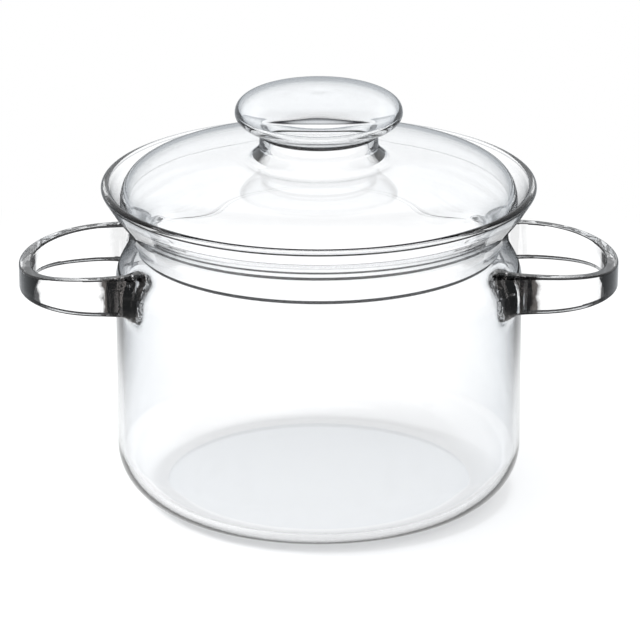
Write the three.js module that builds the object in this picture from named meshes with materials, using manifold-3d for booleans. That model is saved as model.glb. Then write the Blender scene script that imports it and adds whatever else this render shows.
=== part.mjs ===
// Glass stovetop pot with two strap handles and a lift-off lid.
// Millimetres, +Z up, the base stands on z = 0, and the handles lie along X.
import * as THREE from 'three';
import { mergeVertices } from 'three/addons/utils/BufferGeometryUtils.js';
import Module from 'manifold-3d';

// Pot
const potHeight = 135.3; // floor to the top of the lip
const bodyRadius = 85; // outside of the wall
const potWall = 2.6; // blown wall, also the lip's thickness
const baseThickness = 3.4;
const heelRadius = 21; // outside, between base and wall
const neckInset = 6; // from the wall in to the neck
const neckBelowLip = 22;
const shoulderLength = 21; // height in which the wall turns in to the neck
const lipFlare = 5.7; // the lip's reach past the wall
const collarBend = 6.5; // how far the collar stays upright above the neck
const lipLean = 4.7; // sideways run of the collar's last stretch
const lipRise = 11; // upward run of the same stretch

// Handles
const strapThickness = 5.2;
const strapRootHeight = 16.2;
const strapEndHeight = 9.6;
const strapEdge = 1.3; // rounding of the strap's edges
const handleReach = 40.3; // from the wall to the outermost face
const handleSpan = 75.6; // across the outer faces of the two legs, at the wall
const handleDrop = 16; // from the neck down to the strap's middle
const handleSag = 1.7; // how far the outer end hangs below the roots
const legPull = 30; // how straight each leg leaves the wall
const legSpread = 3.4; // how far the legs lean apart over that length
const endPull = 24.2; // how flat the outer end is, from its middle
const weldGap = 0.3; // between a strap's end and the wall

// Lid
const lidWall = 2.6;
const seatRise = 8.9; // the seat's height above the neck, on the collar
const seatGap = 0.3; // between the lid's seat and the collar
const neckPlay = 0.7; // more room between lid and neck
const skirtDepth = 5.2; // skirt below the neck
const skirtTaper = 0.7; // how far the skirt draws in below the neck
const shoulderOverhang = 1.8; // the dome's edge past the seat
const shoulderRise = 3; // the dome's edge above the seat
const domeRise = 19; // the knob's foot above the dome's edge
const domeShoulder = 17.5; // how upright the dome leaves its edge
const domeTop = 35; // how flat the dome meets the knob's foot
const domeSlope = 0.07; // fall of the dome beside that foot

// Knob
const knobRadius = 34.8;
const knobUnderHeight = 11; // the underside's ellipse, below the widest ring
const knobCrownHeight = 9.9; // above the widest ring
const knobCrownFullness = 0.71; // 0.55 would make the crown an ellipse
const knobNeckRadius = 24.7;
const knobNeckHeight = 5.6; // from the dome up to the joint in the neck
const knobLift = 13.4; // from that joint up to the bulb's widest ring
const knobFillet = 5; // spread of the neck's foot on the dome
const knobWall = 2.4;
const jointGap = 0.3; // between dome and knob

// Smoothness
const turnSegments = 48;
const curveSegments = 6;

// Derived places
const neckZ = potHeight - neckBelowLip;
const neckRadius = bodyRadius - neckInset;
const shoulderZ = neckZ - shoulderLength;
const strapMiddleZ = neckZ - handleDrop;

const wasm = await Module();
wasm.setup();

function point(r, z) {
  return new THREE.Vector2(r, z);
}

// A curve's points and its right-hand normals, which point out of the glass on a rising profile
function sample(curve, from, to, segments) {
  const samples = [];
  for (let i = 0; i <= segments; i += 1) {
    const t = from + ((to - from) * i) / segments;
    const tangent = curve.getTangent(t);
    samples.push({ at: curve.getPoint(t), normal: point(tangent.y, -tangent.x) });
  }
  return samples;
}

// An elliptic arc in the same form, with angles from the outermost point upwards
function sampleEllipse(middle, radiusR, radiusZ, from, to, segments) {
  const arc = new THREE.EllipseCurve(middle.x, middle.y, radiusR, radiusZ, from, to, false);
  return sample(arc, 0, 1, segments);
}

function offset(samples, distance) {
  return samples.map((s) => s.at.clone().addScaledVector(s.normal, -distance));
}

// Half a turn around the end of a wall, from its outer to its inner face
function roundEnd(last, wall, segments) {
  const middle = last.at.clone().addScaledVector(last.normal, -wall / 2);
  const start = Math.atan2(last.normal.y, last.normal.x);
  const end = [];
  for (let i = 1; i < segments; i += 1) {
    const angle = start + (Math.PI * i) / segments;
    end.push(point(middle.x + (wall / 2) * Math.cos(angle), middle.y + (wall / 2) * Math.sin(angle)));
  }
  return end;
}

// The place on a rising curve that has a given height
function atHeight(curve, z) {
  let low = 0;
  let high = 1;
  for (let i = 0; i < 40; i += 1) {
    const middle = (low + high) / 2;
    if (curve.getPoint(middle).y < z) {
      low = middle;
    } else {
      high = middle;
    }
  }
  return low;
}

// A profile turned around Z
function turned(profile) {
  const geometry = new THREE.LatheGeometry(profile, turnSegments);
  geometry.rotateX(Math.PI / 2);
  return geometry;
}

function toManifold(geometry) {
  const bare = geometry.clone();
  bare.deleteAttribute('normal');
  bare.deleteAttribute('uv');
  const merged = mergeVertices(bare, 1e-4);
  const index = Array.from(merged.index.array);
  const triangles = [];
  for (let i = 0; i < index.length; i += 3) {
    const [a, b, c] = index.slice(i, i + 3);
    if (a !== b && b !== c && c !== a) {
      triangles.push(a, b, c);
    }
  }
  const mesh = new wasm.Mesh({
    numProp: 3,
    vertProperties: new Float32Array(merged.attributes.position.array),
    triVerts: new Uint32Array(triangles),
  });
  return new wasm.Manifold(mesh);
}

function fromManifold(solid) {
  const mesh = solid.getMesh();
  const geometry = new THREE.BufferGeometry();
  geometry.setAttribute('position', new THREE.BufferAttribute(new Float32Array(mesh.vertProperties), 3));
  geometry.setIndex(Array.from(mesh.triVerts));
  geometry.computeVertexNormals();
  return geometry;
}

function glass() {
  return new THREE.MeshStandardMaterial({
    color: 0xe6ecec,
    roughness: 0.04,
    metalness: 0,
    transparent: true,
    opacity: 0.35,
  });
}

function named(name, geometry) {
  const mesh = new THREE.Mesh(geometry, glass());
  mesh.name = name;
  return mesh;
}

// The pot's outer face: heel, shoulder and collar
const heel = sampleEllipse(
  point(bodyRadius - heelRadius, heelRadius), heelRadius, heelRadius, -Math.PI / 2, 0, curveSegments,
);
const shoulder = new THREE.CubicBezierCurve(
  point(bodyRadius, shoulderZ),
  point(bodyRadius, shoulderZ + shoulderLength / 2),
  point(neckRadius, neckZ - shoulderLength / 2),
  point(neckRadius, neckZ),
);
const lipOut = point(lipRise, -lipLean).normalize();
const lipEnd = point(bodyRadius + lipFlare - potWall / 2, potHeight - potWall / 2)
  .addScaledVector(lipOut, potWall / 2);
const collar = new THREE.CubicBezierCurve(
  point(neckRadius, neckZ),
  point(neckRadius, neckZ + collarBend),
  point(lipEnd.x - lipLean, lipEnd.y - lipRise),
  lipEnd,
);
const upperWall = [
  ...sample(shoulder, 0, 1, curveSegments),
  ...sample(collar, 0, 1, curveSegments).slice(1),
];

function potBody() {
  const lip = roundEnd(upperWall.at(-1), potWall, 4);
  const innerLift = baseThickness - potWall;
  const innerHeel = offset(heel, potWall).map((p) => point(p.x, p.y + innerLift));
  const profile = [
    point(0, 0),
    ...offset(heel, 0),
    ...offset(upperWall, 0),
    ...lip,
    ...offset(upperWall, potWall).reverse(),
    ...innerHeel.reverse(),
    point(0, baseThickness),
  ];
  return turned(profile);
}

// The filled outside of the pot, grown by a gap, which trims the straps' ends
function potOutside(gap) {
  const outer = [...offset(heel, -gap), ...offset(upperWall, -gap)];
  const profile = [point(0, outer[0].y), ...outer, point(0, outer.at(-1).y)];
  return turned(profile);
}

// A strap handle on the +X side: a rounded loop whose section narrows towards its outer end
function strapHandle() {
  const legY = (handleSpan - strapThickness) / 2;
  const wallX = Math.sqrt(bodyRadius ** 2 - legY ** 2);
  const endX = bodyRadius + handleReach - strapThickness / 2;
  const rootDepth = neckInset * 2;
  const path = new THREE.CurvePath();
  const addLeg = (side) => {
    const wallPoint = new THREE.Vector3(wallX, side * legY, 0);
    const pull = new THREE.Vector3(legPull, side * legSpread, 0);
    const root = wallPoint.clone().addScaledVector(pull.clone().normalize(), -rootDepth);
    const bend = wallPoint.clone().add(pull);
    const beforeEnd = new THREE.Vector3(endX, side * endPull, 0);
    const end = new THREE.Vector3(endX, 0, 0);
    const straight = [root, wallPoint];
    const curved = [wallPoint, bend, beforeEnd, end];
    if (side < 0) {
      path.add(new THREE.LineCurve3(...straight));
      path.add(new THREE.CubicBezierCurve3(...curved));
    } else {
      path.add(new THREE.CubicBezierCurve3(...curved.reverse()));
      path.add(new THREE.LineCurve3(...straight.reverse()));
    }
  };
  addLeg(-1);
  addLeg(1);

  const halfHeight = strapRootHeight / 2;
  const halfThickness = strapThickness / 2;
  const section = new THREE.Shape();
  section.absarc(halfHeight - strapEdge, halfThickness - strapEdge, strapEdge, 0, Math.PI / 2);
  section.absarc(strapEdge - halfHeight, halfThickness - strapEdge, strapEdge, Math.PI / 2, Math.PI);
  section.absarc(strapEdge - halfHeight, strapEdge - halfThickness, strapEdge, Math.PI, Math.PI * 1.5);
  section.absarc(halfHeight - strapEdge, strapEdge - halfThickness, strapEdge, Math.PI * 1.5, Math.PI * 2);

  const geometry = new THREE.ExtrudeGeometry(section, { steps: 32, curveSegments: 2, extrudePath: path });
  const places = geometry.attributes.position;
  for (let i = 0; i < places.count; i += 1) {
    const outward = THREE.MathUtils.clamp((places.getX(i) - bodyRadius) / handleReach, 0, 1);
    const height = THREE.MathUtils.lerp(strapRootHeight, strapEndHeight, outward ** 2);
    const middleZ = strapMiddleZ - handleSag * outward;
    places.setZ(i, middleZ + (places.getZ(i) * height) / strapRootHeight);
  }
  const strap = toManifold(geometry);
  return fromManifold(strap.subtract(toManifold(potOutside(weldGap))));
}

// The lid's outer face from the seat up over the dome to the joint in the knob's neck
const seatT = atHeight(collar, neckZ + seatRise);
const flank = sample(collar, 0, seatT, curveSegments).map((s, i) => {
  const room = potWall + seatGap + neckPlay * (1 - i / curveSegments);
  return s.at.clone().addScaledVector(s.normal, -room);
});
const seat = flank.at(-1);
const domeEdge = point(seat.x + shoulderOverhang, seat.y + shoulderRise);
const footRadius = knobNeckRadius + knobFillet;
const domeFoot = point(footRadius, domeEdge.y + domeRise);
const jointZ = domeFoot.y + knobNeckHeight;

function lidOuter() {
  const skirtEnd = point(flank[0].x - skirtTaper, neckZ - skirtDepth);
  const skirt = new THREE.SplineCurve([skirtEnd, ...flank, domeEdge]);
  const dome = new THREE.CubicBezierCurve(
    domeEdge,
    point(domeEdge.x, domeEdge.y + domeShoulder),
    point(footRadius + domeTop, domeFoot.y - domeTop * domeSlope),
    domeFoot,
  );
  const fillet = new THREE.CubicBezierCurve(
    domeFoot,
    point(footRadius - knobFillet * 0.7, domeFoot.y + knobNeckHeight * 0.06),
    point(knobNeckRadius, jointZ - knobNeckHeight * 0.45),
    point(knobNeckRadius, jointZ),
  );
  return [
    ...sample(skirt, 0, 1, curveSegments + 2).slice(0, -1),
    ...sample(dome, 0, 1, curveSegments * 2),
    ...sample(fillet, 0, 1, 4).slice(1),
  ];
}

function lidShell() {
  const outer = lidOuter();
  const inner = offset(outer, lidWall).reverse();
  const last = inner.at(-1);
  const bottom = { at: last, normal: outer[0].normal.clone().negate() };
  const profile = [...offset(outer, 0), ...inner, ...roundEnd(bottom, lidWall, 4)];
  profile.push(profile[0].clone());
  return turned(profile);
}

function lidKnob() {
  const footZ = jointZ + jointGap;
  const middle = point(0, jointZ + knobLift);
  const under = -0.76;
  const meet = point(knobRadius * Math.cos(under), middle.y + knobUnderHeight * Math.sin(under));
  const along = point(-knobRadius * Math.sin(under), knobUnderHeight * Math.cos(under)).normalize();
  const rise = meet.y - footZ;
  const neck = new THREE.CubicBezierCurve(
    point(knobNeckRadius, footZ),
    point(knobNeckRadius, footZ + rise * 0.7),
    meet.clone().addScaledVector(along, -rise * 0.2),
    meet,
  );
  const underside = sampleEllipse(middle, knobRadius, knobUnderHeight, under, 0, curveSegments);
  const top = middle.y + knobCrownHeight;
  const crown = new THREE.CubicBezierCurve(
    point(knobRadius, middle.y),
    point(knobRadius, middle.y + knobCrownHeight * knobCrownFullness),
    point(knobRadius * knobCrownFullness, top),
    point(0, top),
  );
  const outer = [
    ...sample(neck, 0, 1, 4).slice(0, -1),
    ...underside.slice(0, -1),
    ...sample(crown, 0, 1, curveSegments * 2),
  ];
  const inner = offset(outer, knobWall).reverse();
  const profile = [...offset(outer, 0), ...inner, outer[0].at.clone()];
  return turned(profile);
}

const pot = new THREE.Group();
pot.add(named('pot_body', potBody()));
const rightHandle = named('handle_right', strapHandle());
const leftHandle = named('handle_left', strapHandle());
leftHandle.rotation.z = Math.PI;
pot.add(rightHandle, leftHandle);

const lid = new THREE.Group();
lid.add(named('lid_shell', lidShell()));
lid.add(named('lid_knob', lidKnob()));

const glassPot = new THREE.Group();
glassPot.add(pot, lid);

export default glassPot;
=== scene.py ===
import math
import bmesh
import bpy
from mathutils import Matrix, Vector
from mathutils.geometry import interpolate_bezier


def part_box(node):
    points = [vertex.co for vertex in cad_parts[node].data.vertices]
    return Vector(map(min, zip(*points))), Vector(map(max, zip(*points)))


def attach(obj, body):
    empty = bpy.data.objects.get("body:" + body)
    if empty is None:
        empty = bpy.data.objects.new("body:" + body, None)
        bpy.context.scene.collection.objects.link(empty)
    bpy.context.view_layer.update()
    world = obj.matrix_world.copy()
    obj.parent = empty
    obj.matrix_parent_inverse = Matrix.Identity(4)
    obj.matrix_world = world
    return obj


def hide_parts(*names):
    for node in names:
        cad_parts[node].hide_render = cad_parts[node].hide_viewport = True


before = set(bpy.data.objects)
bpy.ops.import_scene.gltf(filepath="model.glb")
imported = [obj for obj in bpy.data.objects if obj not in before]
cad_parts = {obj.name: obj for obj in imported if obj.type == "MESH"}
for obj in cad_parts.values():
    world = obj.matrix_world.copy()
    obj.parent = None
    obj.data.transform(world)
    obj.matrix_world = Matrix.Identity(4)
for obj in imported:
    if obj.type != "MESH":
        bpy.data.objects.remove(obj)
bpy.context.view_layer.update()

scene = bpy.context.scene


# Shader maths as expressions
class Wire:
    def __init__(self, tree, socket):
        self.tree = tree
        self.socket = socket

    def math(self, operation, a, b=None):
        values = {0: a} if b is None else {0: a, 1: b}
        return self.node("ShaderNodeMath", {"operation": operation}, values)

    def node(self, kind, settings=None, values=None, output=0):
        made = self.tree.nodes.new(kind)
        for key, value in (settings or {}).items():
            if key == "stops":
                setStops(made.color_ramp, value)
            else:
                setattr(made, key, value)
        for key, value in (values or {}).items():
            if isinstance(value, Wire):
                self.tree.links.new(value.socket, made.inputs[key])
            else:
                made.inputs[key].default_value = value
        return Wire(self.tree, made.outputs[output] if made.outputs else None)

    def __add__(self, other):
        return self.math("ADD", self, other)

    def __radd__(self, other):
        return self.math("ADD", other, self)

    def __sub__(self, other):
        return self.math("SUBTRACT", self, other)

    def __rsub__(self, other):
        return self.math("SUBTRACT", other, self)

    def __mul__(self, other):
        return self.math("MULTIPLY", self, other)

    def __rmul__(self, other):
        return self.math("MULTIPLY", other, self)

    def __gt__(self, other):
        return self.math("GREATER_THAN", self, other)

    def __lt__(self, other):
        return self.math("LESS_THAN", self, other)


def setStops(ramp, stops):
    while len(ramp.elements) < len(stops):
        ramp.elements.new(1.0)
    for element, (place, colour) in zip(ramp.elements, stops):
        element.position = place
        element.color = (*colour, 1.0)


def startTree(owner):
    owner.use_nodes = True
    owner.node_tree.nodes.clear()
    return Wire(owner.node_tree, None)


def mixed(wire, share, first, second):
    return wire.node("ShaderNodeMix", {"data_type": "RGBA"}, {0: share, 6: first, 7: second}, output=2)


def spread(wire, value, start, end, low, high, curve="LINEAR"):
    return wire.node("ShaderNodeMapRange", {"clamp": True, "interpolation_type": curve}, {
        "Value": value, 1: start, 2: end, 3: low, 4: high})


def axisOf(wire, vector, name):
    return wire.node("ShaderNodeSeparateXYZ", values={0: vector}, output=name)


def lightPath(wire, name):
    return wire.node("ShaderNodeLightPath", output=name)


# Clear glass with a faint blue tint. The edges darken each face by how far it turns from the eye: painted
# shade for the dark outlines that refraction and inner reflection give thick glass.
glassLook = {
    "index": 1.474,            # borosilicate
    "gloss": 1.0,
    "lampTint": (0.90, 0.905, 0.91),     # what one face leaves of a lamp's light
    "insideTint": (0.96, 0.965, 0.97),   # finishes whose painted shade shows from outside only, seen from inside
    "wave": (26.0, 1.5, 0.4),  # blown unevenness: waves per metre, detail and roughness
    "waveDepth": 0.00006,
    "smudge": (70.0, 4.0, 0.6),
    "smudgeRange": (0.45, 0.8),
    "roughness": 0.012,
}
darkLine = [(0.0, (0.004, 0.004, 0.0042)), (1.0, (0.002, 0.002, 0.002))]
innerWall = [(0.0, (0.998, 0.999, 1.0)), (0.6, (0.99, 0.993, 0.997)), (1.0, (0.93, 0.94, 0.95))]
glassFinish = {
    "pot": {
        "stretch": 0.35,       # waves drawn out along the axis
        "edges": [
            (0.0, (0.998, 0.999, 1.0)), (0.28, (0.985, 0.99, 0.995)), (0.45, (0.92, 0.935, 0.95)),
            (0.62, (0.83, 0.855, 0.88)), (0.78, (0.50, 0.52, 0.54)), (1.0, (0.12, 0.125, 0.13))]},
    "collar": {                # neck and collar, a little clearer than the wall
        "stretch": 0.6,
        "edges": [
            (0.0, (0.998, 0.999, 1.0)), (0.45, (0.97, 0.975, 0.98)), (0.66, (0.91, 0.92, 0.93)),
            (0.82, (0.70, 0.72, 0.74)), (1.0, (0.25, 0.255, 0.26))]},
    "inner": {                 # inside of the heel and lip
        "stretch": 0.35,
        "edges": innerWall},
    "heel": {
        "stretch": 0.35,
        "outsideOnly": True,
        "gloss": 0.2,
        "lampTint": (0.74, 0.75, 0.76),
        "edges": [
            (0.0, (0.998, 0.999, 1.0)), (0.45, (0.97, 0.98, 0.99)), (0.82, (0.93, 0.94, 0.95)),
            (0.93, (0.30, 0.31, 0.32)), (1.0, (0.008, 0.008, 0.009))]},
    "outline": {               # the heel's crisp dark outline, painted shade
        "stretch": 0.35,
        "outsideOnly": True,
        "gloss": 0.1,
        "lampTint": (0.34, 0.345, 0.35),
        "edges": [
            (0.0, (0.98, 0.985, 0.99)), (0.58, (0.80, 0.81, 0.82)), (0.68, (0.004, 0.004, 0.0045)),
            (1.0, (0.002, 0.002, 0.002))]},
    "crest": {                 # the lip's outside, painted dark along its skyline
        "outsideOnly": True,
        "gloss": 0.1,
        "edges": [
            (0.0, (0.99, 0.992, 0.995)), (0.60, (0.92, 0.925, 0.93)), (0.68, (0.006, 0.006, 0.0062)),
            (1.0, (0.002, 0.002, 0.002))]},
    "front": {                 # the lip's top, painted dark where it turns to the eye
        "gloss": 0.3,
        "edges": [
            (0.0, (0.004, 0.004, 0.0042)), (0.62, (0.006, 0.006, 0.0062)), (0.70, (0.90, 0.905, 0.91)),
            (0.86, (0.80, 0.81, 0.82)), (1.0, (0.40, 0.41, 0.42))]},
    "rim": {                   # faint painted shade lines along the inside of the lip
        "edges": [(0.0, (0.50, 0.51, 0.52)), (1.0, (0.36, 0.37, 0.38))]},
    "ring": {                  # painted shade: dark lines around the lip, seat, skirt and knob
        "outsideOnly": True,
        "gloss": 0.1,
        "edges": darkLine},
    "line": {                  # painted shade on the straps' tight corners, where light is turned out of sight
        "gloss": 0.1,
        "edges": darkLine},
    "strap": {
        "stretch": 1.6,
        "gloss": 0.6,
        "edges": [
            (0.0, (0.998, 0.999, 1.0)), (0.52, (0.97, 0.975, 0.98)), (0.68, (0.80, 0.81, 0.82)),
            (0.74, (0.012, 0.012, 0.013)), (0.88, (0.006, 0.006, 0.006)), (0.95, (0.45, 0.46, 0.48)),
            (1.0, (0.55, 0.56, 0.58))]},
    "lid": {
        "edges": [
            (0.0, (0.998, 0.999, 1.0)), (0.50, (0.985, 0.99, 0.995)), (0.70, (0.94, 0.95, 0.96)),
            (0.86, (0.90, 0.915, 0.93)), (1.0, (0.82, 0.84, 0.86))]},
    "knob": {
        "edges": [
            (0.0, (0.998, 0.999, 1.0)), (0.38, (0.985, 0.99, 0.995)), (0.62, (0.87, 0.895, 0.915)),
            (0.80, (0.64, 0.67, 0.70)), (0.93, (0.22, 0.23, 0.25)), (1.0, (0.04, 0.04, 0.045))]},
    "neck": {                  # the knob's neck, thick with glass, painted dark for the light its inner reflections turn away
        "gloss": 0.1,
        "edges": [
            (0.0, (0.98, 0.985, 0.99)), (0.34, (0.88, 0.89, 0.90)), (0.52, (0.006, 0.006, 0.0055)),
            (1.0, (0.002, 0.002, 0.002))]},
    "fold": {                  # the skirt's smooth end hardly bends what is behind it
        "index": 1.07,
        "edges": innerWall},
}
strapPaintedShade = {
    "root": (0.012, 0.010, 0.009),       # painted shade for the inner reflections of the flame-welded roots
    "rootReach": (0.0943, 0.0968),       # radii between which that painted shade fades out
    "farRoot": 0.25,                     # its share at the roots behind
    "bend": (0.010, 0.010, 0.0105),      # the same in the straps' bends
    "bendReach": (0.1160, 0.1228),       # distance from the axis where each bend is painted dark in front
    "bendFade": 0.0006,
    "bendTop": (0.183, 0.1229),          # fall and height of the top edge, streaked in the bend
    "ragged": (190.0, 3.0),              # noise that breaks up the outlines, scale and detail
    "raggedDepth": (0.006, 0.005),       # how far it moves them at the roots and the bends
    "streak": (420.0, 2.0),              # clearer streaks down the painted root shade
    "streakDrawn": (1.0, 1.0, 0.08),
    "streakClear": (0.58, 0.66, 0.25),
    "strand": (900.0, 1.0),              # painted dark streaks of shade along the top of the bends
    "strandDrawn": (1.0, 0.07, 0.3),
    "strandDark": (0.42, 0.50, 0.9),
}


def drawnNoise(wire, place, drawn, look):
    scale, detail = look
    along = wire.node("ShaderNodeMapping", values={"Vector": place, "Scale": drawn})
    return wire.node("ShaderNodeTexNoise", values={"Vector": along, "Scale": scale, "Detail": detail})


# Painted shade at the straps' roots and bends, darker at the roots on the negative-y side than at those
# behind
def strapShade(wire, place, tintAndShade):
    look = strapPaintedShade
    x = axisOf(wire, place, "X")
    y = axisOf(wire, place, "Y")
    z = axisOf(wire, place, "Z")
    scale, detail = look["ragged"]
    ragged = wire.node("ShaderNodeTexNoise", values={"Vector": place, "Scale": scale, "Detail": detail})
    rootDepth, bendDepth = look["raggedDepth"]
    radius = wire.math("SQRT", x * x + y * y)
    near, far = look["rootReach"]
    root = spread(wire, radius + (ragged - 0.5) * rootDepth, near, far, 1.0, 0.0)
    start, end, least = look["streakClear"]
    clear = spread(wire, drawnNoise(wire, place, look["streakDrawn"], look["streak"]), start, end, 1.0, least)
    front = 1.0 - (y > 0.0) * (1.0 - look["farRoot"])
    rootShaded = mixed(wire, root * clear * front, tintAndShade, (*look["root"], 1.0))
    near, far = look["bendReach"]
    fade = look["bendFade"]
    side = wire.math("ABSOLUTE", x)
    reach = side + (ragged - 0.5) * bendDepth
    starts = spread(wire, reach, near - fade, near + fade, 0.0, 1.0)
    stops = spread(wire, reach, far - fade, far + fade, 1.0, 0.0)
    start, end, most = look["strandDark"]
    strand = spread(wire, drawnNoise(wire, place, look["strandDrawn"], look["strand"]), start, end, 0.0, most)
    fall, top = look["bendTop"]
    onTop = strand * (z + side * fall > top)
    bent = starts * wire.math("MAXIMUM", stops * (y < 0.0), onTop)
    return mixed(wire, bent, rootShaded, (*look["bend"], 1.0))


def glassMaterial(kind):
    look = {**glassLook, **glassFinish[kind]}
    made = bpy.data.materials.new(kind + "_glass")
    wire = startTree(made)
    place = wire.node("ShaderNodeTexCoord", output="Object")
    along = wire.node("ShaderNodeMapping", values={
        "Vector": place, "Scale": (1.0, 1.0, look.get("stretch", 1.0))})
    scale, detail, rough = look["wave"]
    wave = wire.node("ShaderNodeTexNoise", values={
        "Vector": along, "Scale": scale, "Detail": detail, "Roughness": rough})
    bump = wire.node("ShaderNodeBump", values={
        "Height": wave, "Strength": 1.0, "Distance": look["waveDepth"]})
    scale, detail, rough = look["smudge"]
    smudge = wire.node("ShaderNodeTexNoise", values={
        "Vector": place, "Scale": scale, "Detail": detail, "Roughness": rough})
    polish = spread(wire, smudge, *look["smudgeRange"], 0.0, look["roughness"])
    facing = wire.node("ShaderNodeLayerWeight", values={"Blend": 0.5}, output="Facing")
    tintAndShade = wire.node("ShaderNodeValToRGB", {"stops": look["edges"]}, {0: facing})
    if kind == "strap":
        tintAndShade = strapShade(wire, place, tintAndShade)
    if look.get("outsideOnly"):
        inside = wire.node("ShaderNodeNewGeometry", output="Backfacing")
        tintAndShade = mixed(wire, inside, tintAndShade, (*look["insideTint"], 1.0))
    glass = wire.node("ShaderNodeBsdfPrincipled", values={
        "Base Color": tintAndShade, "Roughness": polish, "IOR": look["index"],
        "Specular Tint": (*[look["gloss"]] * 3, 1.0),
        "Transmission Weight": 1.0, "Normal": bump})
    lampWay = wire.node("ShaderNodeBsdfTransparent", values={"Color": (*look["lampTint"], 1.0)})
    both = wire.node("ShaderNodeMixShader", values={
        0: lightPath(wire, "Is Shadow Ray"), 1: glass, 2: lampWay})
    wire.node("ShaderNodeOutputMaterial", values={"Surface": both})
    return made


finishOf = {kind: glassMaterial(kind) for kind in glassFinish}
print("glass mixed,", len(finishOf), "finishes")


# Profiles are lists of (radius, height) in metres
def arc(middle, radii, start, end, count):
    points = []
    for i in range(count + 1):
        angle = start + (end - start) * i / count
        points.append(Vector((middle[0] + radii[0] * math.cos(angle),
                              middle[1] + radii[1] * math.sin(angle))))
    return points


def bend(a, b, c, d, count):
    knots = [Vector((p[0], p[1], 0.0)) for p in (a, b, c, d)]
    return [p.to_2d() for p in interpolate_bezier(*knots, count + 1)]


def joined(*stretches):
    points = []
    for stretch in stretches:
        for p in stretch:
            if not points or (p - points[-1]).length > 1e-6:
                points.append(p)
    return points


def inward(points, depth, extra):
    moved = []
    for i, p in enumerate(points):
        before = points[max(i - 1, 0)]
        after = points[min(i + 1, len(points) - 1)]
        run = (after - before).normalized()
        moved.append(p + Vector((-run.y, run.x)) * (depth + extra(p)))
    return moved


def swelling(middle, width, height):
    return lambda p: height * math.exp(-((p - middle).length / width) ** 2)


def roundOver(outer, inner, count):
    middle = (outer + inner) / 2
    spoke = outer - middle
    return [middle + Matrix.Rotation(math.pi * i / count, 2) @ spoke for i in range(1, count)]


def spun(name, profile, steps, closed):
    shape = bmesh.new()
    verts = [shape.verts.new((p.x, 0.0, p.y)) for p in profile]
    edges = [shape.edges.new(pair) for pair in zip(verts, verts[1:])]
    if closed:
        edges.append(shape.edges.new((verts[-1], verts[0])))
    bmesh.ops.spin(shape, geom=verts + edges, cent=(0, 0, 0), axis=(0, 0, 1),
                   angle=math.tau, steps=steps, use_merge=True)
    bmesh.ops.remove_doubles(shape, verts=shape.verts, dist=1e-6)
    bmesh.ops.dissolve_degenerate(shape, edges=shape.edges, dist=1e-7)
    bmesh.ops.recalc_face_normals(shape, faces=shape.faces)
    return finished(name, shape)


def finished(name, shape):
    mesh = bpy.data.meshes.new(name)
    for face in shape.faces:
        face.smooth = True
    shape.to_mesh(mesh)
    shape.free()
    made = bpy.data.objects.new(name, mesh)
    scene.collection.objects.link(made)
    return made


def addFinishes(piece, kinds):
    for kind in kinds:
        piece.data.materials.append(finishOf[kind])


def onProfile(face):
    return Vector((math.hypot(face.center.x, face.center.y), face.center.z))


def finishRings(piece, slot, rings):
    for face in piece.data.polygons:
        here = onProfile(face)
        if any((here - Vector(ring)).length < reach for ring, reach in rings):
            face.material_index = slot


# Pot
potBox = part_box("pot_body")
pot = {
    "height": potBox[1][2],
    "lipRadius": potBox[1][0],
    "wallRadius": 0.085,
    "wall": 0.0026,
    "base": 0.0034,
    "heel": 0.021,
    "neckRadius": 0.079,
    "neckDrop": 0.022,         # neck below the lip
    "shoulder": 0.021,         # height in which the wall turns in
    "collarBend": 0.0065,
    "lipRun": (0.0047, 0.011),
    "bead": (0.0009, 0.0035),  # thickness gained at the lip, and over what length
    "beadReach": 1.1,          # faces this many radii from the bead's middle belong to it
    "lipLine": -12.0,          # where the bead shows its lower painted dark line, in degrees
    "lipReach": 0.0005,
    "lipBands": (-45.0, 62.0, 86.0),               # where its outside begins, its top begins and ends; each band has its own painted shade
    "rimBands": ((86.0, 112.0), (138.0, 157.0)),   # faint painted shade lines on its inside
    "clearFrom": 0.094,        # height where the clearer neck begins
    "outlineFrom": math.radians(51.5),             # how far down the heel its painted dark outline starts
    "floorSteps": 6,
    "heelSteps": 24,
    "wallSteps": 28,
    "shoulderSteps": 18,
    "collarSteps": 26,
    "lipSteps": 28,
    "spinSteps": 192,
}
potKinds = ["pot", "strap", "line", "crest", "heel", "inner", "ring", "outline", "front", "collar", "rim"]
neckZ = pot["height"] - pot["neckDrop"]
beadRadius = (pot["wall"] + pot["bead"][0]) / 2
beadMiddle = Vector((pot["lipRadius"], pot["height"])) - Vector((1, 1)) * beadRadius


def collarCurve(count):
    neck = Vector((pot["neckRadius"], neckZ))
    lean = Vector(pot["lipRun"])
    out = Vector((lean.y, -lean.x)).normalized() * pot["wall"] / 2
    lip = beadMiddle + out
    return bend(neck, neck + Vector((0, pot["collarBend"])), lip - lean, lip, count)


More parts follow.
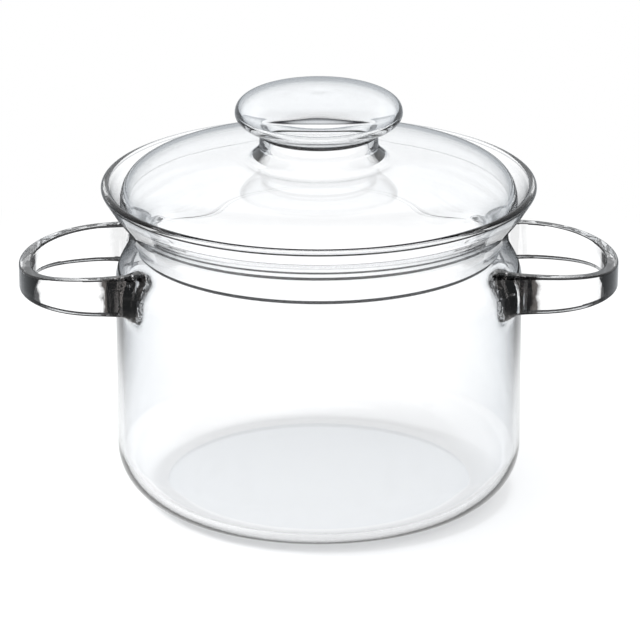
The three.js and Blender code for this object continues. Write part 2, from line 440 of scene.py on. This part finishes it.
def potProfile():
    radius, heel, rise = pot["wallRadius"], pot["heel"], pot["base"] - pot["wall"]
    shoulderZ = neckZ - pot["shoulder"]
    half = pot["shoulder"] / 2
    heelArc = arc((radius - heel, heel), (heel, heel), -math.pi / 2, 0, pot["heelSteps"])
    count = pot["wallSteps"]
    wallRun = [Vector((radius, heel + (shoulderZ - heel) * i / count)) for i in range(count + 1)]
    shoulder = bend((radius, shoulderZ), (radius, shoulderZ + half), (pot["neckRadius"], neckZ - half),
                    (pot["neckRadius"], neckZ), pot["shoulderSteps"])
    upper = joined(wallRun, shoulder, collarCurve(pot["collarSteps"]))
    swell = swelling(upper[-1], pot["bead"][1], pot["bead"][0] / 2)
    upperIn = [p for p in inward(upper, pot["wall"], swell) if p.y > heel + rise]
    upper = inward(upper, 0.0, lambda p: -swell(p))
    heelIn = [p + Vector((0, rise)) for p in inward(heelArc, pot["wall"], lambda p: 0.0)]
    flat = radius - heel
    count = pot["floorSteps"]
    floorRun = [Vector((flat * i / count, 0.0)) for i in range(count)]
    floorIn = [Vector((flat * i / count, pot["base"])) for i in range(count)]
    lip = roundOver(upper[-1], upperIn[-1], pot["lipSteps"])
    return joined(floorRun, heelArc, upper, lip, upperIn[::-1], heelIn[::-1], floorIn[::-1]), upper


potPoints, potUpper = potProfile()
potGlass = spun("pot_glass", potPoints, pot["spinSteps"], closed=False)
addFinishes(potGlass, potKinds)
print("pot turned,", len(potGlass.data.polygons), "faces")


# Handles
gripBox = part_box("handle_right")
strap = {
    "thickness": 0.0052,
    "rootHeight": 0.0162,
    "endHeight": 0.0096,
    "edge": 0.0012,
    "edgeSegments": 7,
    "cuts": ((0.004, 7), (0.0015, 2)),   # sides longer than this are cut so many times
    "line": 0.6,               # share of the rounded edge that shows as a painted dark line
    "lowLine": -0.0002,        # how far up the side that painted line goes at the lower edges
    "span": 0.0756,
    "reach": gripBox[1][0],
    "rootMiddle": 0.0973,
    "sag": 0.0017,
    "legPull": 0.030,
    "legSpread": 0.0034,
    "endPull": 0.0242,
    "flare": 0.014,            # length over which the root swells into the wall
    "swell": (0.75, 0.10),     # thickness and height gained at the wall
    "stations": 40,
    "weldMerge": 0.0005,       # seam points closer than this become one
    "weldRings": 3,            # rows of points around a weld that are smoothed
    "weldRounds": 10,
}
wallSlot, strapSlot, lineSlot = (potKinds.index(kind) for kind in ("pot", "strap", "line"))


def wallRadiusAt(z):
    for low, high in zip(potUpper, potUpper[1:]):
        if low.y <= z <= high.y:
            return low.x + (high.x - low.x) * (z - low.y) / max(high.y - low.y, 1e-9)
    return pot["wallRadius"]


def strapPlaces():
    legY = (strap["span"] - strap["thickness"]) / 2
    wallX = math.sqrt(pot["wallRadius"] ** 2 - legY ** 2)
    endX = strap["reach"] - strap["thickness"] / 2
    half = interpolate_bezier(
        Vector((wallX, -legY, 0)), Vector((wallX + strap["legPull"], -legY - strap["legSpread"], 0)),
        Vector((endX, -strap["endPull"], 0)), Vector((endX, 0, 0)), strap["stations"] // 2 + 1)
    way = half + [Vector((p.x, -p.y, 0)) for p in half[-2::-1]]
    places = []
    for i, p in enumerate(way):
        run = (way[min(i + 1, len(way) - 1)] - way[max(i - 1, 0)]).normalized()
        across = run.cross(Vector((0, 0, 1)))
        out = min(max((p.x - pot["wallRadius"]) / (strap["reach"] - pot["wallRadius"]), 0), 1)
        fromWall = min((q - p).length for q in (way[0], way[-1]))
        swell = max(0.0, 1 - fromWall / strap["flare"]) ** 2
        wide = 1 + strap["swell"][0] * swell
        tall = strap["rootHeight"] + (strap["endHeight"] - strap["rootHeight"]) * out ** 2
        tall *= (1 + strap["swell"][1] * swell) / strap["rootHeight"]
        frameAt = Matrix((across * wide, Vector((0, 0, tall)), run)).transposed().to_4x4()
        frameAt.translation = Vector((p.x, p.y, strap["rootMiddle"] - strap["sag"] * out))
        places.append(frameAt)
    return places


def strapLoop(name, side):
    shape = bmesh.new()
    section = bmesh.ops.create_grid(shape, x_segments=1, y_segments=1, size=0.5)["verts"]
    bmesh.ops.scale(shape, verts=section, vec=(strap["thickness"], strap["rootHeight"], 1))
    bmesh.ops.bevel(shape, geom=section, offset=strap["edge"], segments=strap["edgeSegments"],
                    profile=0.5, affect="VERTICES", material=-1)
    bmesh.ops.delete(shape, geom=shape.faces[:], context="FACES_ONLY")
    for longest, cuts in strap["cuts"]:
        sides = [e for e in shape.edges if e.calc_length() > longest]
        bmesh.ops.subdivide_edges(shape, edges=sides, cuts=cuts)
    places = strapPlaces()
    ring = shape.edges[:]
    bmesh.ops.transform(shape, matrix=places[0], verts=shape.verts)
    ends = shape.verts[:]
    corner = Vector((strap["thickness"], strap["rootHeight"])) / 2
    corner -= Vector((1, 1)) * strap["edge"] * strap["line"]
    lowLine = strap["edge"] + strap["lowLine"] - strap["rootHeight"] / 2
    for before, after in zip(places, places[1:]):
        grown = bmesh.ops.extrude_edge_only(shape, edges=ring)["geom"]
        ring = [g for g in grown if isinstance(g, bmesh.types.BMEdge)]
        fresh = [g for g in grown if isinstance(g, bmesh.types.BMVert)]
        bmesh.ops.transform(shape, matrix=after @ before.inverted(), verts=fresh)
        # faces on the rounded corners take the line finish, painted dark lines of shade
        for face in {f for e in ring for f in e.link_faces}:
            local = after.inverted() @ face.calc_center_median()
            onCorner = abs(local.x) > corner.x and (abs(local.y) > corner.y or local.y < lowLine)
            face.material_index = lineSlot if onCorner else strapSlot
    for vert in ends + fresh:          # both ends stop halfway through the wall
        halfWall = wallRadiusAt(vert.co.z) - pot["wall"] / 2
        vert.co.x = math.sqrt(halfWall ** 2 - vert.co.y ** 2)
    rims = [e for e in shape.edges if e.is_boundary]
    for face in bmesh.ops.holes_fill(shape, edges=rims, sides=0)["faces"]:
        face.material_index = strapSlot
    if side < 0:
        bmesh.ops.rotate(shape, verts=shape.verts, cent=(0, 0, 0),
                         matrix=Matrix.Rotation(math.pi, 3, "Z"))
    bmesh.ops.recalc_face_normals(shape, faces=shape.faces)
    return finished(name, shape)


def weld(base, added):
    modifier = base.modifiers.new("weld", "BOOLEAN")
    modifier.operation = "UNION"
    modifier.solver = "EXACT"
    modifier.object = added
    graph = bpy.context.evaluated_depsgraph_get()
    mesh = bpy.data.meshes.new_from_object(base.evaluated_get(graph))
    base.modifiers.clear()
    base.data = mesh
    bpy.data.objects.remove(added)


def softenWelds(base):
    shape = bmesh.new()
    shape.from_mesh(base.data)
    seam = set()
    for edge in shape.edges:
        if len({face.material_index == wallSlot for face in edge.link_faces}) > 1:
            seam.update(edge.verts)
    bmesh.ops.remove_doubles(shape, verts=list(seam), dist=strap["weldMerge"])
    seam = {v for v in seam if v.is_valid}
    near = set(seam)
    for _ in range(strap["weldRings"]):
        near.update(e.other_vert(v) for v in list(near) for e in v.link_edges)
    # faces at the seam take the strap's finish, so its painted root shade reaches onto the wall
    for face in {f for v in seam for f in v.link_faces}:
        face.material_index = max(face.material_index, strapSlot)
    for _ in range(strap["weldRounds"]):
        bmesh.ops.smooth_vert(shape, verts=list(near), factor=0.5,
                              use_axis_x=True, use_axis_y=True, use_axis_z=True)
    for face in shape.faces:
        face.smooth = True
    shape.to_mesh(base.data)
    shape.free()
    return len(seam)


for strapName, side in (("strap_right", 1), ("strap_left", -1)):
    loop = strapLoop(strapName, side)
    addFinishes(loop, potKinds[:3])    # wall, strap and corner lines
    weld(potGlass, loop)
seamPoints = softenWelds(potGlass)
print("straps welded,", seamPoints, "seam points,", len(potGlass.data.polygons), "faces")


# Painted shade on the lip: dark lines and bands chosen by angle around the bead
def finishLip():
    lowBand, turnBand, highBand = pot["lipBands"]
    for face in potGlass.data.polygons:
        spoke = onProfile(face) - beadMiddle
        turned = math.degrees(math.atan2(spoke.y, spoke.x))
        if face.material_index == wallSlot and face.center.z > pot["clearFrom"]:
            face.material_index = potKinds.index("collar")
        if spoke.length > beadRadius * pot["beadReach"] or turned < lowBand:
            continue
        if turned < turnBand:
            kind = "crest"
        elif turned < highBand:
            kind = "front"
        else:
            onLine = any(start < turned < end for start, end in pot["rimBands"])
            kind = "rim" if onLine else "inner"
        face.material_index = potKinds.index(kind)
    angle = math.radians(pot["lipLine"])
    line = beadMiddle + Vector((math.cos(angle), math.sin(angle))) * beadRadius
    finishRings(potGlass, potKinds.index("ring"), [(line, pot["lipReach"])])


# The heel's finishes: painted edge shade outside, with a painted dark outline low down
def finishHeel():
    middle = Vector((pot["wallRadius"] - pot["heel"], pot["heel"]))
    for face in potGlass.data.polygons:
        spoke = onProfile(face) - middle
        if spoke.x > 0 and spoke.y < 0:
            low = spoke.y < -math.sin(pot["outlineFrom"]) * spoke.length
            outside = spoke.length > pot["heel"] - pot["wall"] / 2
            kind = ("outline" if low else "heel") if outside else "inner"
            face.material_index = potKinds.index(kind)


finishLip()
finishHeel()
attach(potGlass, "pot")
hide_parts("pot_body", "handle_left", "handle_right")


# Lid with its hollow knob, one blown wall
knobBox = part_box("lid_knob")
lid = {
    "wall": 0.0026,
    "seatRise": 0.0089,        # seat above the neck
    "seatGap": 0.0003,
    "neckPlay": 0.0007,
    "skirt": 0.0052,           # below the neck
    "skirtTaper": 0.0007,
    "skirtPull": (0.0018, 0.0015),
    "overhang": 0.0018,
    "edgeRise": 0.003,
    "edgePull": 0.0012,
    "domeRise": 0.019,
    "domeShoulder": 0.0175,    # how upright the dome leaves its edge
    "domeTop": (0.035, 0.00245),   # how flat it meets the knob's foot
    "neckRadius": 0.0247,
    "neckRise": 0.0056,
    "fillet": 0.005,
    "footPull": (0.4, 0.05, 0.25),  # slant of the neck's foot, as shares of fillet and rise
    "knobRadius": knobBox[1][0],
    "knobTop": knobBox[1][2],
    "knobUnder": -0.76,        # where the neck leaves the bulb, in radians
    "knobUnderHeight": 0.011,
    "knobCrownHeight": 0.0099,
    "crownFullness": 0.71,     # 0.55 would make the crown an ellipse
    "bulbPull": (0.7, 0.2),    # how the neck opens into the bulb, as shares of its rise
    "seal": (0.004, 0.00008),  # radius and height of the sealed tip
    "rimSwell": (0.005, 0.0003),   # length and height of the thicker glass at the fold
    "neckSwell": (0.006, 0.0008),  # the same in the knob's neck
    "seatLines": ((0.0003, 0.0007), (0.0034, 0.0010)),  # painted dark lines below the seat, and their reach
    "endLines": 0.0008,        # reach of those at the skirt's end and under the knob
    "underLine": 8,            # point of the bulb's opening that has the one under the knob
    "throatLine": 0.0006,      # reach of the one where the hollow narrows into the neck
    "neckDark": (7, 0.4),      # point of the neck's foot, thick with glass, that is painted dark, and share of the rise
    "fold": 0.0018,            # reach of the smooth end of the skirt
    "collarSteps": 60,
    "bendSteps": 8,            # skirt, seat and rim
    "domeSteps": 72,
    "neckSteps": 12,
    "underSteps": 20,
    "crownSteps": 48,
    "spinSteps": 192,
}
lidKinds = ["lid", "knob", "ring", "neck", "fold"]


def lidFlank():
    collar = [p for p in collarCurve(lid["collarSteps"]) if p.y <= neckZ + lid["seatRise"]]
    onward = collar[1:] + [collar[-1] * 2 - collar[-2]]
    runs = [(b - a).normalized() for a, b in zip(collar, onward)]
    flank = []
    for i, (p, run) in enumerate(zip(collar, runs)):
        room = pot["wall"] + lid["seatGap"] + lid["neckPlay"] * (1 - i / (len(collar) - 1))
        flank.append(p + Vector((-run.y, run.x)) * room)
    return flank, runs[-1]


def lidProfile():
    flank, seatRun = lidFlank()
    seat = flank[-1]
    edge = Vector((seat.x + lid["overhang"], seat.y + lid["edgeRise"]))
    neck = lid["neckRadius"]
    foot = neck + lid["fillet"]
    footZ = edge.y + lid["domeRise"]
    jointZ = footZ + lid["neckRise"]
    skirtEnd = Vector((flank[0].x - lid["skirtTaper"], neckZ - lid["skirt"]))
    up, down = lid["skirtPull"]
    skirt = bend(skirtEnd, skirtEnd + Vector((0, up)), flank[0] - Vector((0, down)), flank[0],
                 lid["bendSteps"])
    pull = lid["edgePull"]
    turn = bend(seat, seat + seatRun * pull, edge - Vector((0, pull)), edge, lid["bendSteps"])
    flat, fall = lid["domeTop"]
    dome = bend(edge, edge + Vector((0, lid["domeShoulder"])), (foot + flat, footZ - fall),
                (foot, footZ), lid["domeSteps"])
    inPull, upPull, downPull = lid["footPull"]
    neckFoot = bend((foot, footZ), (foot - lid["fillet"] * inPull, footZ + lid["neckRise"] * upPull),
                    (neck, jointZ - lid["neckRise"] * downPull), (neck, jointZ), lid["neckSteps"])
    wide, low, under = lid["knobRadius"], lid["knobUnderHeight"], lid["knobUnder"]
    middleZ = lid["knobTop"] - lid["knobCrownHeight"]
    meet = Vector((wide * math.cos(under), middleZ + low * math.sin(under)))
    along = Vector((-wide * math.sin(under), low * math.cos(under))).normalized()
    rise = meet.y - jointZ
    upPull, backPull = lid["bulbPull"]
    neckTop = bend((neck, jointZ), (neck, jointZ + rise * upPull), meet - along * rise * backPull, meet,
                   lid["neckSteps"])
    underside = arc((0, middleZ), (wide, low), under, 0, lid["underSteps"])
    full = lid["crownFullness"]
    crown = bend((wide, middleZ), (wide, middleZ + lid["knobCrownHeight"] * full),
                 (wide * full, lid["knobTop"]), (0, lid["knobTop"]), lid["crownSteps"])
    outer = joined(skirt, flank, turn, dome, neckFoot, neckTop, underside, crown)
    atFold = swelling(edge, *lid["rimSwell"])
    atNeck = swelling(Vector((neck, jointZ)), *lid["neckSwell"])
    inner = inward(outer, lid["wall"], lambda p: atFold(p) + atNeck(p))
    reach, tall = lid["seal"]
    for p in inner:                    # the sealed tip stands into the hollow
        if p.y > middleZ and p.x < reach * 2:
            p.y -= tall * math.exp(-(p.x / reach) ** 2)
    outer[-1].x = 0.0
    inner[-1].x = 0.0
    rim = roundOver(inner[0], outer[0], lid["bendSteps"])
    throat = min((p for p in inner if footZ < p.y < middleZ), key=lambda p: p.x)
    lines = [(outer[0], lid["endLines"]), (neckTop[lid["underLine"]], lid["endLines"]),
             (throat, lid["throatLine"])]
    for below, width in lid["seatLines"]:
        lines.append((min(flank, key=lambda p: abs(p.y - seat.y + below)), width))
    point, share = lid["neckDark"]
    rings = {"fold": [(rim[len(rim) // 2], lid["fold"])],
             "neck": [(neckFoot[point], lid["neckRise"] * share)],
             "ring": lines}
    return joined(outer, inner[::-1], rim), rings


lidPoints, lidRings = lidProfile()
lidGlass = spun("lid_glass", lidPoints, lid["spinSteps"], closed=True)
addFinishes(lidGlass, lidKinds)
for face in lidGlass.data.polygons:
    kind = "knob" if face.center.z > knobBox[0][2] else "lid"
    face.material_index = lidKinds.index(kind)
# The rings give chosen faces their finishes: painted dark lines, the neck's painted dark foot, and the
# skirt's fold
for kind, rings in lidRings.items():
    finishRings(lidGlass, lidKinds.index(kind), rings)
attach(lidGlass, "lid")
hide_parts("lid_shell", "lid_knob")
print("lid turned,", len(lidGlass.data.polygons), "faces")


# Floor and studio
stage = {
    "size": 6.0,
    "drop": 0.0004,            # floor below the base, so the two never share a plane
    "floor": (0.88, 0.885, 0.89),
    "white": (0.30, 0.62),     # share of the floor that shows as plain white, and through glass
    "beyond": (0.14, 0.40),    # between these radii it turns all white, and grey in single reflections
    "grey": (0.60, 0.63, 0.66),
    "dimFrom": (0.13, 0.26),   # deep reflections see it darken between these
    "dim": 0.95,
    "ambient": 0.95,
    "aim": (0, 0, 0.05),
    "key": {"place": (-1.2, -0.15, 1.2), "watts": 30.0, "width": 0.6},
    "fill": {"place": (0.9, -1.0, 1.3), "watts": 6.0, "width": 1.2},
    "through": [               # room seen straight through the glass, by height
        (0.0, (1.0, 1.0, 1.0)), (0.72, (1.0, 1.0, 1.0)), (0.80, (0.10, 0.105, 0.115)),
        (0.90, (0.10, 0.105, 0.115)), (0.96, (0.95, 0.97, 1.0))],
    "mirrored": [              # room seen in one reflection
        (0.0, (0.60, 0.63, 0.66)), (0.52, (0.60, 0.63, 0.66)), (0.64, (0.97, 0.985, 1.0)),
        (0.80, (0.97, 0.985, 1.0)), (0.86, (0.06, 0.06, 0.07)),
        (0.95, (0.06, 0.06, 0.07)), (0.98, (0.9, 0.92, 0.95))],
    "deep": [                  # room seen after several
        (0.0, (0.03, 0.03, 0.035)), (0.56, (0.03, 0.03, 0.035)), (0.66, (0.70, 0.72, 0.74))],
}


# Ray counts are whole numbers, so halves tell them apart
def floorFinish():
    made = bpy.data.materials.new("pale_floor")
    wire = startTree(made)
    paint = wire.node("ShaderNodeBsdfDiffuse", values={"Color": (*stage["floor"], 1.0)})
    glow = wire.node("ShaderNodeEmission", values={"Color": (1, 1, 1, 1), "Strength": 1.0})
    place = wire.node("ShaderNodeTexCoord", output="Object")
    away = wire.node("ShaderNodeVectorMath", {"operation": "LENGTH"}, {0: place}, output="Value")
    beyond = spread(wire, away, *stage["beyond"], 0.0, 1.0, "SMOOTHSTEP")
    direct, indirect = stage["white"]
    plain = lightPath(wire, "Is Camera Ray") * (beyond * (1.0 - direct) + direct)
    glassy = lightPath(wire, "Is Glossy Ray") + lightPath(wire, "Is Transmission Ray")
    seen = plain + wire.math("MINIMUM", glassy, 1.0) * indirect
    pale = wire.node("ShaderNodeMixShader", values={0: seen, 1: paint, 2: glow})
    bounces = lightPath(wire, "Glossy Depth")
    grey = wire.node("ShaderNodeEmission", values={"Color": (*stage["grey"], 1.0), "Strength": 1.0})
    once = wire.node("ShaderNodeMixShader", values={0: (bounces > 0.5) * beyond, 1: pale, 2: grey})
    passes = lightPath(wire, "Transmission Depth")
    inGlass = (bounces > 0.5) * (passes > 0.5) * (passes < 3.5)
    deep = wire.math("MAXIMUM", bounces > 1.5, inGlass)
    distant = spread(wire, away, *stage["dimFrom"], 0.0, stage["dim"], "SMOOTHSTEP")
    dark = wire.node("ShaderNodeEmission", values={"Color": (0, 0, 0, 1), "Strength": 0.0})
    whole = wire.node("ShaderNodeMixShader", values={0: deep * distant, 1: once, 2: dark})
    wire.node("ShaderNodeOutputMaterial", values={"Surface": whole})
    return made


def paleFloor():
    shape = bmesh.new()
    bmesh.ops.create_grid(shape, x_segments=2, y_segments=2, size=stage["size"] / 2)
    bmesh.ops.translate(shape, verts=shape.verts, vec=(0, 0, -stage["drop"]))
    floor = finished("floor", shape)
    floor.data.materials.append(floorFinish())


def studioWorld():
    world = bpy.data.worlds.new("studio")
    scene.world = world
    wire = startTree(world)
    way = wire.node("ShaderNodeTexCoord", output="Generated")
    level = axisOf(wire, way, "Z") * 0.5 + 0.5     # 0 is straight down, 1 straight up
    through, mirrored, deep = (
        wire.node("ShaderNodeValToRGB", {"stops": stage[name]}, {0: level})
        for name in ("through", "mirrored", "deep"))
    bounces = lightPath(wire, "Glossy Depth")
    once = mixed(wire, bounces > 0.5, through, mirrored)
    room = mixed(wire, bounces > 1.5, once, deep)
    lit = mixed(wire, lightPath(wire, "Is Diffuse Ray"), room, (*[stage["ambient"]] * 3, 1))
    colour = mixed(wire, lightPath(wire, "Is Camera Ray"), lit, (1, 1, 1, 1))
    back = wire.node("ShaderNodeBackground", values={"Color": colour, "Strength": 1.0})
    wire.node("ShaderNodeOutputWorld", values={"Surface": back})


def lamp(name, place, watts, width):
    light = bpy.data.lights.new(name, "AREA")
    light.energy = watts
    light.size = width
    made = bpy.data.objects.new(name, light)
    made.location = place
    made.rotation_euler = (Vector(stage["aim"]) - Vector(place)).to_track_quat("-Z", "Y").to_euler()
    made.visible_camera = False
    made.visible_transmission = False
    made.visible_glossy = False
    scene.collection.objects.link(made)


paleFloor()
studioWorld()
lamp("top_left", **stage["key"])
lamp("front_right", **stage["fill"])
print("studio ready")


# Camera at the photograph's place
view = {
    "distance": 2.0,
    "pitch": 19.6,
    "turn": 1.0,               # the left handle is a little nearer
    "aimHeight": 0.0738,
    "aimSide": 0.0005,
    "lens": 267.9,
    "sensor": 36.0,
}


def photoCamera():
    pitch, turn = math.radians(view["pitch"]), math.radians(view["turn"])
    side = Vector((math.cos(turn), -math.sin(turn), 0))
    back = Vector((-math.sin(turn), -math.cos(turn), 0))
    away = back * math.cos(pitch) + Vector((0, 0, math.sin(pitch)))
    aim = Vector((0, 0, view["aimHeight"])) + side * view["aimSide"]
    data = bpy.data.cameras.new("photo_camera")
    data.lens = view["lens"]
    data.sensor_width = view["sensor"]
    camera = bpy.data.objects.new("photo_camera", data)
    camera.location = aim + away * view["distance"]
    camera.rotation_euler = (aim - camera.location).to_track_quat("-Z", "Y").to_euler()
    scene.collection.objects.link(camera)
    scene.camera = camera


photoCamera()
scene.view_settings.view_transform = "Standard"
scene.cycles.max_bounces = 32
scene.cycles.transmission_bounces = 32
scene.cycles.glossy_bounces = 16
scene.cycles.transparent_max_bounces = 32
print("camera placed")
